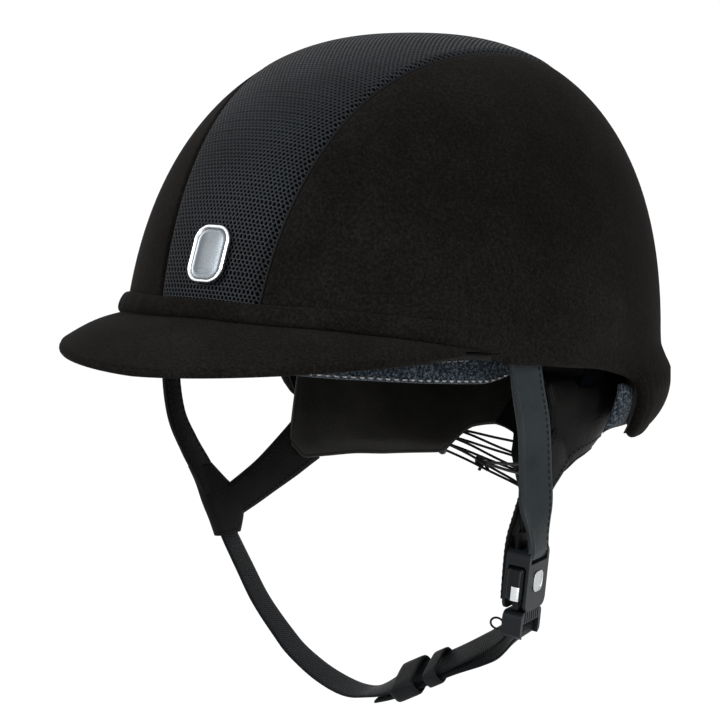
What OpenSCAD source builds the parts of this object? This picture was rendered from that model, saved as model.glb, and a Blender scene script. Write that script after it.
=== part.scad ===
// Riding helmet with a four-point harness.
// Millimetres. Front is -Y, the wearer's left is +X, up is +Z.
// The origin is the centre of the head opening, level with the widest part of the shell.

/* [Shell] */
// Half of the outer width, over the suede
half_w = 107; // [104:0.5:110]
// Reach of the dome forward of the origin
front_len = 130.5; // [126:0.5:134]
// Reach of the dome behind the origin
back_len = 127.5; // [124:0.5:131]
// Height of the crown above the origin
crown_h = 154.5; // [150:0.5:160]
// Thickness of the suede cover
cover_t = 1.2; // [0.8:0.1:1.6]
// Thickness of the moulded shell
shell_t = 3; // [2:0.5:4]
// Thickness of the foam liner at the sides and crown
liner_t = 16; // [12:1:18]

/* [Peak] */
// Half of the peak's width
peak_half_w = 95; // [90:1:98]
// Reach of the peak's outline forward of its side roots
peak_len = 108; // [100:1:114]
// Y of the peak's side roots
peak_root_y = -60; // [-64:1:-56]
// Height of the peak's edge at the tip
peak_tip_z = 22.4; // [18:0.2:25]

/* [Harness] */
// Width of the leather straps
strap_w = 16; // [14:1:20]
// Thickness of the leather straps
strap_t = 2.2; // [1.6:0.2:3]
// Width of the chin webbing
web_w = 15; // [12:1:16]
// Thickness of the chin webbing
web_t = 1.4; // [1:0.1:1.8]
// Width of the nylon buckle
buckle_w = 21; // [20:1:23]
// Thickness of the nylon buckle
buckle_t = 11; // [10:0.5:12]

/* [Hidden] */

// Superellipse powers of the dome in plan and in height, its backward lean and its taper to the front
dome_p = 2.17;
dome_q = 2.42;
crown_lean = 12.3;
dome_taper = 0.027;
mean_len = (front_len + back_len) / 2;

// Depths below the suede surface at which each layer lies
shell_out = -(cover_t + 1.1);
shell_in = shell_out - shell_t;
liner_out = shell_in - 1.2;
liner_in = liner_out - liner_t;
pad_out = liner_in - 1;
pad_in = pad_out - 6;

// Rim height by angle round from the front: hidden front, side, ear notch and rear lobe
rim_table = [
    [0, 37], [30, 35], [48, 30], [56, 27.5], [63.5, 24], [69.4, 22], [79.6, 20], [93.2, 15.5],
    [97, 13.6], [103.3, 9.5], [107, 5], [109.5, -16], [112, -20], [120, -21], [135, -19],
    [150, -14], [165, -11], [180, -10]
];
// Columns of the dome's grids, closest together at the ear notch
half_columns = [0, 10, 20, 30, 39, 48, 56, 63.5, 71.5, 79.6, 86, 93.2, 100, 105, 107, 109.5, 112,
    120, 128, 136, 145, 154, 163, 172];

function spow(v, e) = sign(v) * pow(abs(v), e);
function unit(v) = v / norm(v);
function clamp01(v) = min(max(v, 0), 1);
function mix(a, b, t) = a + (b - a) * t;
function rim_z(turn) = lookup(turn, rim_table);

// Height on the dome as an angle above the equator, and as plain millimetres below it
function lift_of(z) = z < 0 ? z : asin(pow(z / crown_h, dome_q / 2));
function height_of(lift, off) = lift < 0 ? lift : (crown_h + off) * pow(sin(lift), 2 / dome_q);

// The rear lobe swells outward below the ear line and tucks in at its foot
function lobe_flare(a, z) =
    let (t = clamp01((20 - z) / 45), w = clamp01((sin(a) - 0.1) / 0.2))
    w * (24 * t * (1 - t) - 10 * pow(t, 3));

// Point on the dome at plan angle a (-90 front, 0 left, 90 back) and a given lift
function dome_point(a, lift, off = 0) =
    let (
        z = height_of(lift, off),
        c = pow(cos(max(lift, 0)), 2 / dome_q),
        grow = off + lobe_flare(a, z),
        depth = (sin(a) < 0 ? front_len : back_len) + grow,
        y = depth * spow(sin(a), 2 / dome_p) * c + crown_lean * max(z, 0) / crown_h,
        x = (half_w + grow) * spow(cos(a), 2 / dome_p) * c * (1 + dome_taper * y / mean_len)
    ) [x, y, z];

// Plan angle of a turn counted from the front, on the left side (+1) or the right side (-1)
function plan_angle(turn, side) = side > 0 ? turn - 90 : 270 - turn;
function rim_point(turn, side, off = 0, rise = 0) =
    dome_point(plan_angle(turn, side), lift_of(rim_z(turn) + rise), off);

// Seam half-width along the crown line: t is -90 at the front, 0 at the crown, 90 at the back
function panel_half(t) = 26.5 + 16 * pow(cos(min(abs(t), 90)), 2);
function reach(x, y, z) =
    pow(pow(pow(abs(x), dome_p) + pow(abs(y), dome_p), dome_q / dome_p) + pow(abs(z), dome_q), -1 / dome_q);
function crown_reach(x, t) =
    let (
        s0 = reach(x / half_w, sin(t), cos(t)),
        s1 = reach(x / half_w / s0, sin(t), cos(t))
    ) reach(x / half_w / s1, sin(t), cos(t));

// Plan angle and lift of the dome point at sideways distance x and crown-line angle t
function crown_coords(x, t) =
    let (
        s = crown_reach(x, min(t, 90)),
        px = pow(abs(x) / half_w, dome_p),
        py = pow(abs(sin(min(t, 90))) * s, dome_p),
        c = min(pow(px + py, 1 / dome_p), 1),
        quarter = atan2(sqrt(py), sqrt(px)),
        front = t < 0 ? -quarter : quarter
    ) [x < 0 ? 180 - front : front, t > 90 ? 90 - t : acos(pow(c, dome_q / 2))];
function crown_point(x, t, off = 0) =
    let (at = crown_coords(x, t)) dome_point(at[0], at[1], off);

// Smooth curve through hand-picked points, n steps to each stretch
function spline_at(p, i, t) =
    let (
        k = len(p) - 1,
        a = p[max(i - 1, 0)], b = p[i], c = p[min(i + 1, k)], d = p[min(i + 2, k)]
    ) 0.5 * (2 * b + (c - a) * t + (2 * a - 5 * b + 4 * c - d) * t * t
        + (3 * b - a - 3 * c + d) * t * t * t);
function spline(p, n) =
    [for (i = [0 : len(p) - 2]) for (j = [0 : n - 1]) spline_at(p, i, j / n), p[len(p) - 1]];
function heading(p, i) = unit(p[min(i + 1, len(p) - 1)] - p[max(i - 1, 0)]);

// Solid between two grids of points of the same size
module slab(top, bottom) {
    cols = len(top[0]);
    rows = len(top);
    n = rows * cols;
    low = [for (i = [0 : rows - 2]) for (j = [0 : cols - 2]) i * cols + j];
    edge = concat(
        [for (j = [0 : cols - 1]) j],
        [for (i = [1 : rows - 1]) i * cols + cols - 1],
        [for (j = [cols - 2 : -1 : 0]) (rows - 1) * cols + j],
        [for (i = [rows - 2 : -1 : 1]) i * cols]
    );
    m = len(edge);
    polyhedron(
        points = concat([for (r = top) each r], [for (r = bottom) each r]),
        faces = concat(
            [for (k = low) [k, k + cols, k + 1]],
            [for (k = low) [k + 1, k + cols, k + cols + 1]],
            [for (k = low) [n + k, n + k + 1, n + k + cols]],
            [for (k = low) [n + k + 1, n + k + cols + 1, n + k + cols]],
            [for (i = [0 : m - 1]) [edge[i], edge[(i + 1) % m], n + edge[i]]],
            [for (i = [0 : m - 1]) [edge[(i + 1) % m], n + edge[(i + 1) % m], n + edge[i]]]
        ),
        convexity = 6
    );
}

// Solid bowl between two stacks of closed rings that rise from the rim to just below the crown
module bowl(outer, inner, outer_top, inner_top) {
    m = len(outer[0]);
    rows = len(outer);
    n = rows * m;
    cells = [for (i = [0 : rows - 2]) for (j = [0 : m - 1]) [i * m + j, i * m + (j + 1) % m]];
    last = (rows - 1) * m;
    polyhedron(
        points = concat([for (r = outer) each r], [for (r = inner) each r], [outer_top, inner_top]),
        faces = concat(
            [for (c = cells) [c[0], c[0] + m, c[1]]],
            [for (c = cells) [c[1], c[0] + m, c[1] + m]],
            [for (c = cells) [n + c[0], n + c[1], n + c[0] + m]],
            [for (c = cells) [n + c[1], n + c[1] + m, n + c[0] + m]],
            [for (j = [0 : m - 1]) [last + j, 2 * n, last + (j + 1) % m]],
            [for (j = [0 : m - 1]) [n + last + j, n + last + (j + 1) % m, 2 * n + 1]],
            [for (j = [0 : m - 1]) [j, (j + 1) % m, n + j]],
            [for (j = [0 : m - 1]) [(j + 1) % m, n + (j + 1) % m, n + j]]
        ),
        convexity = 6
    );
}

// Solid through a row of sections that all have the same number of points
module loft(sections) {
    m = len(sections[0]);
    k = len(sections);
    polyhedron(
        points = [for (s = sections) each s],
        faces = concat(
            [[for (j = [0 : m - 1]) j]],
            [for (i = [0 : k - 2]) for (j = [0 : m - 1])
                [i * m + j, i * m + m + j, i * m + (j + 1) % m]],
            [for (i = [0 : k - 2]) for (j = [0 : m - 1])
                [i * m + (j + 1) % m, i * m + m + j, i * m + m + (j + 1) % m]],
            [[for (j = [m - 1 : -1 : 0]) (k - 1) * m + j]]
        ),
        convexity = 6
    );
}

// Oval tube along a path: half height is along `up`, half depth is across it
module oval_tube(path, up, half_h, half_d, sides = 8) {
    loft([for (i = [0 : len(path) - 1])
        let (side = unit(cross(heading(path, i), up)), rise = unit(cross(side, heading(path, i))))
        [for (j = [0 : sides - 1])
            path[i] + side * half_d * cos(j * 360 / sides) + rise * half_h * sin(j * 360 / sides)]]);
}

// Flat strap along a path: `across` is its width direction at each point
module strap(path, across, width, thick) {
    loft([for (i = [0 : len(path) - 1])
        let (
            w = unit(is_num(across[0]) ? across : across[i]) * (is_num(width) ? width : width[i]) / 2,
            t = unit(cross(heading(path, i), w)) * thick / 2
        ) [path[i] - w - t, path[i] + w - t, path[i] + w + t, path[i] - w + t]]);
}

module rounded_plate(w, h, r, thick) {
    linear_extrude(thick) {
        square([w - 2 * r, h], center = true);
        square([w, h - 2 * r], center = true);
        for (x = [-1, 1], y = [-1, 1])
            translate([x * (w / 2 - r), y * (h / 2 - r)])
                circle(r, $fn = 32);
    }
}

// Straight round cord between two points
module cord(a, b, r) {
    d = b - a;
    translate(a)
        rotate([0, acos(d[2] / norm(d)), atan2(d[1], d[0])])
            cylinder(h = norm(d), r = r, $fn = 24);
}

// ---------- shell and liner ----------

dome_rows = 12;
full_turns = concat(half_columns, [180], [for (i = [len(half_columns) - 1 : -1 : 1]) half_columns[i]]);
function side_of(i) = i < len(half_columns) ? 1 : -1;
function dome_rings(off, rise) =
    [for (r = [0 : dome_rows - 1])
        [for (i = [0 : len(full_turns) - 1])
            let (
                a = plan_angle(full_turns[i], side_of(i)),
                low = lift_of(rim_z(full_turns[i]) + rise)
            ) dome_point(a, mix(low, 84, r / (dome_rows - 1)), off)]];
function dome_top(off) = dome_point(0, 90, off);

module vent_slot(y, z, tilt) {
    for (x = [-14, 0, 14])
        translate([x, y, z])
            rotate([tilt, 0, 0])
                cube([7, 24, 30], center = true);
}

module outer_shell() {
    color("#2b2b2e")
        difference() {
            bowl(dome_rings(shell_out, 0.5), dome_rings(shell_in, 0.5), dome_top(shell_out), dome_top(shell_in));
            vent_slot(-88, 112, 45);
            vent_slot(106, 96, -50);
        }
}

// The foam stops above the rear lobe and the ear notch, and thins towards its lower edge
liner_foot = 12;
function liner_rings(outside) =
    [for (r = [0 : dome_rows - 1])
        [for (i = [0 : len(full_turns) - 1])
            let (
                foot = max(rim_z(full_turns[i]) + 6, liner_foot),
                lift = mix(lift_of(foot), 84, r / (dome_rows - 1)),
                thin = mix(0.5, 1, clamp01((height_of(lift, 0) - foot) / 16)),
                off = outside ? liner_out : liner_out - liner_t * thin
            ) dome_point(plan_angle(full_turns[i], side_of(i)), lift, off)]];

module foam_liner() {
    color("#3a3a3d")
        bowl(liner_rings(true), liner_rings(false), dome_top(liner_out), dome_top(liner_in));
}

// ---------- covers ----------

cover_stations = 22;
cover_rows = 7;
seam_gap = 1.5;
// Crown-line angle of a station, from the brow band to the back rim
function seam_t(u) = mix(-73.5, 101, u);
// Turn of the rim below each station
function cover_turn(u) = lookup(u, [[0, 14], [0.3, 56], [0.45, 79.6], [0.6, 100], [0.7, 107], [0.74, 109.5],
    [0.78, 112], [0.9, 140], [1, 167]]);

function cover_grid(side, off) =
    [for (r = [0 : cover_rows])
        [for (i = [0 : cover_stations])
            let (
                u = i / cover_stations,
                t = seam_t(u),
                turn = cover_turn(u),
                low = [plan_angle(turn, 1), lift_of(rim_z(turn))],
                top = crown_coords(panel_half(t) + seam_gap, t),
                at = mix(low, top, r / cover_rows)
            ) dome_point(side > 0 ? at[0] : 180 - at[0], at[1], off)]];

module cover(side) {
    color("#17161a")
        if (side > 0)
            slab(cover_grid(1, 0), cover_grid(1, -cover_t));
        else
            slab(cover_grid(-1, -cover_t), cover_grid(-1, 0));
}
module cover_left() { cover(1); }
module cover_right() { cover(-1); }

panel_cols = 8;
panel_rows = 26;
panel_bulge = 0.4;
function panel_grid(off, bulge) =
    [for (i = [0 : panel_rows])
        [for (j = [-panel_cols / 2 : panel_cols / 2])
            let (
                t = seam_t(i / panel_rows),
                v = 2 * j / panel_cols
            ) crown_point(v * (panel_half(t) - seam_gap) + 0.001, t, off + bulge * (1 - v * v))]];

module mesh_panel() {
    color("#2f343b")
        slab(panel_grid(0, panel_bulge), panel_grid(-cover_t, 0));
}

module seam(side) {
    path = [for (i = [0 : 30])
        let (t = mix(-72, 100, i / 30)) crown_point(side * panel_half(t), t, -0.8)];
    color("#0d0d0f")
        oval_tube(path, [side, 0, 0], 1.1, 0.9, 6);
}
module seam_left() { seam(1); }
module seam_right() { seam(-1); }

// ---------- brow band and rim ----------

band_low = [[0, 39], [30, 36.5], [48, 32.5], [58, 29], [66, 25.5], [74, 24]];
band_high = [[0, 47.2], [30, 45.8], [48, 42], [58, 39.5], [66, 37], [74, 34]];
band_proud = [[0, 4.6], [50, 4.4], [62, 3], [74, 0.9]];
band_end = 74;
band_steps = 36;

module brow_band() {
    sections = [for (i = [0 : band_steps])
        let (
            turn = mix(-band_end, band_end, i / band_steps),
            low = lookup(abs(turn), band_low),
            high = lookup(abs(turn), band_high),
            out = lookup(abs(turn), band_proud)
        ) [for (j = [0 : 8])
            let (
                a = -90 + j * 22.5,
                z = (low + high) / 2 + (high - low) / 2 * sin(a),
                off = 0.7 + out * pow(max(0, cos(a)), 0.7) * (0.75 - 0.25 * sin(a))
            ) dome_point(turn - 90, lift_of(z), off)]];
    color("#141317")
        loft(sections);
}

binding_turns = concat([for (t = half_columns) if (t > 74) t], [180]);
binding_turns_all = concat([for (t = [76]) [t, 1]], [for (t = binding_turns) [t, 1]],
    [for (i = [len(binding_turns) - 2 : -1 : 0]) [binding_turns[i], -1]], [[76, -1]]);
// Drops each rim point square to the rim's own line, so the binding hugs the steep ear notch
function rim_normal(i) =
    let (
        k = len(binding_turns_all) - 1,
        a = binding_turns_all[max(i - 1, 0)],
        b = binding_turns_all[min(i + 1, k)],
        run = (plan_angle(b[0], b[1]) - plan_angle(a[0], a[1])) * PI / 180 * half_w,
        climb = rim_z(b[0]) - rim_z(a[0])
    ) unit([climb, -run]);

module rim_binding() {
    path = [for (i = [0 : len(binding_turns_all) - 1])
        let (
            at = binding_turns_all[i],
            n = rim_normal(i) * 2.1,
            a = plan_angle(at[0], at[1]) + n[0] / (half_w * PI / 180)
        ) dome_point(a, lift_of(rim_z(at[0]) + n[1]), -2.4)];
    color("#101013")
        loft([for (i = [0 : len(path) - 1])
            let (
                h = heading(path, i),
                out = unit([path[i][0], path[i][1], 0]),
                down = unit(cross(h, out))
            ) [for (j = [0 : 7]) path[i] + out * 2.3 * cos(j * 45) + down * 1.7 * sin(j * 45)]]);
}

// ---------- peak ----------

peak_steps = 32;
peak_rows = 6;
peak_round = 2.2;
peak_arch = 2.5;
piping_r = 1.2;
peak_root_turn = 66;
function peak_edge(a) =
    let (x = peak_half_w * spow(cos(a), 2 / peak_round))
    [x, peak_root_y - peak_len * pow(sin(a), 2 / peak_round), peak_tip_z + 5 * pow(abs(x) / peak_half_w, 1.3)];
function peak_root(turn, drop) =
    dome_point(turn - 90, lift_of(lookup(abs(turn), band_low) - 0.5 - drop), 0.4);
// Rows run from the root to the edge, and the plate arches upward between them
function peak_grid(drop, inset) =
    [for (r = [0 : peak_rows])
        [for (i = [0 : peak_steps])
            let (
                u = i / peak_steps,
                root = peak_root(mix(-peak_root_turn, peak_root_turn, u), drop),
                edge = peak_edge(mix(176, 4, u)) - [0, 0, drop],
                v = r / peak_rows * (1 - inset / norm(edge - root))
            ) mix(root, edge, v) + [0, 0, peak_arch * sin(180 * v) * pow(sin(180 * u), 0.7)]]];

module peak_cover() {
    color("#17161a") slab(peak_grid(0.8, 2.6), peak_grid(0, 2.6));
}
module peak_board() {
    color("#1d1d1f") slab(peak_grid(2.5, 4), peak_grid(0.9, 4));
}
module peak_lining() {
    color("#1b1b1e") slab(peak_grid(3.2, 2.6), peak_grid(2.6, 2.6));
}
module peak_piping() {
    path = [for (i = [0 : peak_steps])
        let (a = mix(176, 4, i / peak_steps)) peak_edge(a) + [-piping_r * cos(a), piping_r * sin(a), -1.5]];
    color("#101012") oval_tube(path, [0, 0, 1], 1.7, piping_r, 8);
}

// ---------- badge ----------

badge_w = 19;
badge_h = 25;
module on_badge() {
    p = crown_point(0.001, -66, panel_bulge);
    translate(p)
        rotate([90 - 21, 0, 0])
            children();
}
module badge_plate() {
    color("#c9ccd0")
        on_badge()
            translate([0, 0, 1.6])
                difference() {
                    rounded_plate(badge_w, badge_h, 7, 2);
                    translate([0, 0, 1.2])
                        rounded_plate(badge_w - 3, badge_h - 3, 5.6, 2);
                }
}
module badge_posts() {
    color("#8d9094")
        on_badge()
            for (y = [-6.5, 6.5])
                translate([0, y, -4.6])
                    cylinder(h = 6.2, r = 1, $fn = 24);
}

// ---------- comfort pads ----------

headband_low = [[0, 20], [40, 16], [60, 13], [80, 10], [96, 12], [110, 15], [170, 18]];
module headband_pad() {
    function ring(off, rise) = [for (i = [0 : 64])
        let (turn = mix(-170, 170, i / 64))
        dome_point(turn - 90, lift_of(lookup(abs(turn), headband_low) + rise), off)];
    color("#33363c")
        slab([ring(pad_out, 0), ring(pad_out, 12), ring(pad_out, 24)], [ring(pad_in, 0), ring(pad_in, 12), ring(pad_in, 24)]);
}

module crown_pad() {
    color("#2a2c31")
        for (x = [-1, 0, 1])
            slab(
                [for (i = [0 : 10]) [for (j = [-1, 0, 1]) crown_point(x * 22 + j * 8 + 0.001, mix(-42, 38, i / 10), pad_out - 1)]],
                [for (i = [0 : 10]) [for (j = [-1, 0, 1]) crown_point(x * 22 + j * 8 + 0.001, mix(-42, 38, i / 10), pad_in)]]
            );
}

module rear_pad(side) {
    function face(off) = [for (r = [0 : 4])
        [for (i = [0 : 12])
            let (
                turn = mix(110, 172, i / 12),
                z = mix(rim_z(turn) + 2, 5, r / 4)
            ) dome_point(plan_angle(turn, side), lift_of(z), off)]];
    color("#3d434c")
        if (side > 0)
            slab(face(shell_in - 3), face(shell_in - 8));
        else
            slab(face(shell_in - 8), face(shell_in - 3));
}
module rear_pad_left() { rear_pad(1); }
module rear_pad_right() { rear_pad(-1); }

// ---------- harness ----------

// Strap centre lines, from the anchor in the shell down to the junction below the ear
left_front_route = [[96.4, -31, 23], [95.5, -27, 8], [94, -21, -8], [92, -17, -24], [89.6, -14.5, -40]];
right_front_route = [[-93.9, -40, 23], [-95.5, -42, 4], [-93.6, -41, -17], [-92, -35, -31], [-90.6, -27, -43]];
left_rear_route = [[88.2, -6, -34], [87.5, 3, -25], [86, 16, -20]];
right_rear_route = [[-88.8, -6, -60], [-86.5, 10, -53], [-83.5, 25, -44], [-81, 36, -37]];
left_across = [0.26, 0.966, 0];
right_across = [-0.26, 0.966, 0];

module front_strap(route, across, w0) {
    path = spline(route, 4);
    color("#1f2226")
        strap(path, across, [for (i = [0 : len(path) - 1]) mix(w0, strap_w + 1, i / (len(path) - 1))], strap_t);
}
module front_strap_left() { front_strap(left_front_route, left_across, strap_w); }
module front_strap_right() { front_strap(right_front_route, right_across, strap_w - 1.5); }

module rear_strap_left() {
    color("#1c1f23")
        strap(spline(left_rear_route, 5), [0.05, -0.5, 0.85], 15, strap_t);
}
module rear_strap_right() {
    color("#1c1f23")
        strap(spline(right_rear_route, 5), [-0.05, -0.5, 0.85], 15, strap_t);
}

// Leather sleeve that joins the front and rear straps, through boxes given as [x, y, z, width, turn]
module junction(boxes) {
    color("#191b1f")
        hull()
            for (b = boxes)
                translate([b[0], b[1], b[2]])
                    rotate([0, 0, b[4]])
                        cube([4.6, b[3], 3], center = true);
}
module junction_left() {
    junction([[88.9, -12.5, -43.5, 19, -15], [88.6, -14, -49, 18, -10], [88.2, -15, -54.5, 16, 5]]);
}
module junction_right() {
    junction([[-90.4, -26, -47, 15, 15], [-88.6, -7, -57, 16, 15], [-87.4, -14, -71.4, 18, 15]]);
}

// Nape panels: two curved leather halves, laced together behind the neck
nape_w = 84;
nape_centre_y = 10;
nape_back = 58;
// Each row is [angle round from the side, lower edge, upper edge]
left_nape = [[4, -31, 6], [12, -29, 7], [24, -27, 7], [36, -27, 7], [47, -28, 7], [58, -31, 7], [66, -40, 7],
    [72, -56, 7], [79, -58, 7], [82, -30, 7], [89.8, -26, 7]];
right_nape = [[17, -46, 6], [32, -44, 7], [44, -43, 7], [55, -43, 7], [65, -42, 7], [74, -41, 7],
    [80, -40, 7], [83, -29, 7], [89.8, -26, 7]];
nape_rows = 6;
// The panels slope outward from the neck to the helmet's back rim
nape_reach = 97;
function nape_flare(z) = pow(clamp01((z + 38) / 34), 1.3);
function nape_swell(side, turn) = 3 + (side > 0 ? 10 : 0) * pow(sin(2 * turn), 2);
function nape_point(side, turn, z, inset = 0) =
    let (f = nape_flare(z))
    [
        side * (nape_w + nape_swell(side, turn) * f - inset) * pow(cos(turn), 0.8),
        nape_centre_y + (mix(nape_back, nape_reach, f) - inset) * pow(sin(turn), 0.9),
        z
    ];
function nape_face(rows, side, inset) =
    [for (k = [0 : nape_rows]) [for (r = rows) nape_point(side, r[0], mix(r[1], r[2], k / nape_rows), inset)]];
module nape_panel(rows, side) {
    color("#16181b")
        if (side > 0)
            slab(nape_face(rows, side, 0), nape_face(rows, side, 2.4));
        else
            slab(nape_face(rows, side, 2.4), nape_face(rows, side, 0));
}
module nape_panel_left() { nape_panel(left_nape, 1); }
module nape_panel_right() { nape_panel(right_nape, -1); }

module rear_hanger(side) {
    color("#1c1f23")
        strap(spline([[side * 95, 24, 17], [side * 90, 27, 8], [side * 82.5, 30, 0]], 4), [side * 0.15, 1, 0], 12, 1.8);
}
module rear_hanger_left() { rear_hanger(1); }
module rear_hanger_right() { rear_hanger(-1); }

// Rivets that fix the four straps to the shell
module strap_anchors() {
    color("#6f7276")
        for (p = [[1, 96.4, -31, 19], [-1, 96, -40.3, 19], [1, 94.2, 24.5, 15.4], [-1, 94.2, 24.5, 15.4]])
            translate([p[0] * (p[1] - 3.1), p[2], p[3]])
                rotate([0, p[0] * 90, 0])
                    cylinder(h = 1.6, r = 4, $fn = 32);
}

eyelet_left = [for (k = [0 : 3]) nape_point(1, 76.5, -34 - 7 * k)];
eyelet_right = [for (k = [0 : 3]) nape_point(-1, 77.5, -30.5 - 3.2 * k)];
module eyelet(p) {
    translate(p)
        rotate([-90, 0, 0])
            rotate_extrude($fn = 32)
                translate([1.9, 0])
                    circle(0.7, $fn = 16);
}
module nape_eyelets() {
    color("#3c3e42")
        for (p = concat(eyelet_left, eyelet_right))
            eyelet(p);
}

lace_r = 0.9;
lace_out = 6.6;
module nape_lace() {
    color("#1a1a1c") {
        for (k = [0 : 3])
            cord(eyelet_right[k] + [0, lace_out, 0], eyelet_left[k] + [0, lace_out, 0], lace_r);
        for (k = [0 : 2])
            cord(eyelet_right[k] + [0, lace_out + 2.2, 0], eyelet_left[k + 1] + [0, lace_out + 2.2, 0], lace_r);
    }
}
module lace_knot() {
    color("#1a1a1c")
        translate([-12, 84.4, -46])
            for (t = [-35, 35])
                rotate([90, t, 0])
                    rotate_extrude($fn = 32)
                        translate([2.6, 0])
                            circle(1.2, $fn = 16);
}

// ---------- buckle ----------

buckle_at = [86, -15, -74.5];
buckle_lean = 7;
buckle_turn = 13;
loop_z = 10.8;
bar_z = -23.6;
wall = 1.4;
module at_buckle() {
    translate(buckle_at)
        rotate([0, buckle_lean, 0])
            rotate([0, 0, buckle_turn])
                children();
}
// Plate in the buckle's own plane: width along Y, height along Z, centred on the thickness
module buckle_slab(w, h, r, thick) {
    rotate([90, 0, 90])
        translate([0, 0, -thick / 2])
            rounded_plate(w, h, r, thick);
}

// Leather backing that hangs from the inside of the front strap and lies behind the buckle
flap_route = [[85.2, -14.5, -40], [83.8, -15, -48], [80, -14, -61], [77.6, -12.5, -81]];
module buckle_flap() {
    color("#15171a")
        strap(spline(flap_route, 5), [-0.2, 0.975, 0], 15, 1.8);
}

module buckle_loop() {
    color("#202328")
        at_buckle() {
            for (x = [-1, 1])
                translate([x * 2.6, 0, loop_z + 4.9])
                    cube([1.2, web_w, 9.8], center = true);
            translate([0, 0, loop_z])
                rotate([90, 0, 0])
                    difference() {
                        cylinder(h = web_w, r = 3.2, center = true, $fn = 48);
                        cylinder(h = web_w + 1, r = 2, center = true, $fn = 48);
                        translate([0, 5, 0])
                            cube([12, 10, web_w + 1], center = true);
                    }
        }
}

housing_h = 27;
module buckle_housing() {
    color("#25282c")
        at_buckle() {
            difference() {
                buckle_slab(buckle_w, housing_h, 4, buckle_t);
                translate([0, 0, -5.4])
                    cube([buckle_t - 2 * wall, buckle_w + 2, 23.4], center = true);
                translate([0, 0, 12.3])
                    cube([buckle_t + 2, web_w + 1.5, 10], center = true);
            }
            translate([0, 0, loop_z])
                rotate([90, 0, 0])
                    cylinder(h = web_w + 2.5, r = 1.9, center = true, $fn = 48);
        }
}

module buckle_emblem() {
    color("#b9bcc0")
        at_buckle()
            translate([buckle_t / 2, 0, -1])
                rotate([0, 90, 0])
                    rotate([0, 0, 90])
                        difference() {
                            rounded_plate(9, 9, 3, 0.6);
                            translate([0, 0, 0.35])
                                rounded_plate(7.6, 7.6, 2.4, 1);
                        }
}

arm_y = 6.4;
module buckle_frame() {
    color("#212428")
        at_buckle() {
            difference() {
                translate([0, 0, -20])
                    buckle_slab(buckle_w, 12, 3, 9);
                translate([0, 0, bar_z])
                    cube([11, web_w + 1.5, 9], center = true);
                for (k = [-3 : 3])
                    translate([4.6, k * 2.2, -16.6])
                        cube([1, 1, 4.6], center = true);
            }
            translate([0, 0, bar_z])
                rotate([90, 0, 0])
                    cylinder(h = web_w + 2.5, r = 1.8, center = true, $fn = 48);
            translate([0, 0, -7.5])
                cube([3, 4.4, 15], center = true);
        }
}

// Springy side arm with a rounded thumb pad that shows through the housing's side
module latch_arm(side) {
    color("#1b1d20")
        at_buckle()
            mirror([0, side < 0 ? 1 : 0, 0]) {
                translate([0, arm_y + 0.8, -6.6])
                    cube([3, 2.4, 13.6], center = true);
                translate([0, arm_y - 4.2, -0.2])
                    rotate([0, 90, 0])
                        intersection() {
                            cylinder(h = 4.4, r = 10, center = true, $fn = 64);
                            translate([0, 8.1, 0])
                                cube([12, 4.4, 6], center = true);
                        }
            }
}
module latch_arm_front() { latch_arm(-1); }
module latch_arm_rear() { latch_arm(1); }

// ---------- chin strap ----------

bar_at = buckle_at + bar_z * [sin(buckle_lean), 0, cos(buckle_lean)];
upper_route = [[-86, -14, -76], [-76, -14.5, -90], [-65, -15.5, -104], [-51, -16.5, -117], [-40, -17.5, -125],
    [-23, -18.5, -133], [-5, -19.5, -137], [10, -20, -134.3], [31, -20, -124.2], [52, -19.5, -114.1],
    [68, -17.5, -105.2]];
lower_route = [[68, -17.5, -110.4], [53.1, -19.5, -116.6], [32.1, -20, -126.6], [11.1, -20, -136.7]];
bar_turn = [for (a = [115 : -22.5 : -65])
    bar_at + [2.75 * cos(a), 0, 2.75 * sin(a)]];
chin_path = concat(spline(upper_route, 4), bar_turn, spline(lower_route, 3));
// The webbing turns with the junction at its far end and with the buckle at its near end
web_across = [for (p = chin_path)
    let (share = p[0] / bar_at[0]) [-0.25 * abs(share), 0.966, 0.027 * max(share, 0)]];

module chin_webbing() {
    color("#1d2024")
        strap(chin_path, web_across, web_w, web_t);
}

chin_slope = atan2(20.2, 42);
module on_chin(x, drop) {
    translate([x, -20, -134.3 + (x - 10) * tan(chin_slope)])
        rotate([0, -chin_slope, 0])
            translate([0, 0, -drop])
                children();
}
module strap_slider() {
    color("#16181b")
        on_chin(28, 1.2)
            difference() {
                cube([12, web_w + 6, 8.4], center = true);
                cube([14, web_w + 2.6, 5.8], center = true);
            }
}
module strap_keeper() {
    color("#101214")
        on_chin(43, 1.2)
            difference() {
                cube([7, web_w + 4.8, 7.8], center = true);
                cube([9, web_w + 2.6, 6.4], center = true);
            }
}

outer_shell();
foam_liner();
cover_left();
cover_right();
mesh_panel();
seam_left();
seam_right();
brow_band();
rim_binding();
peak_board();
peak_cover();
peak_lining();
peak_piping();
badge_plate();
badge_posts();
headband_pad();
crown_pad();
rear_pad_left();
rear_pad_right();
strap_anchors();
front_strap_left();
front_strap_right();
rear_strap_left();
rear_strap_right();
nape_panel_left();
nape_panel_right();
rear_hanger_left();
rear_hanger_right();
junction_left();
junction_right();
nape_eyelets();
nape_lace();
lace_knot();
buckle_flap();
buckle_loop();
buckle_housing();
buckle_emblem();
chin_webbing();
buckle_frame();
latch_arm_front();
latch_arm_rear();
strap_slider();
strap_keeper();
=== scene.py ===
import math

import bmesh
import bpy
from mathutils import Matrix, Vector


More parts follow.
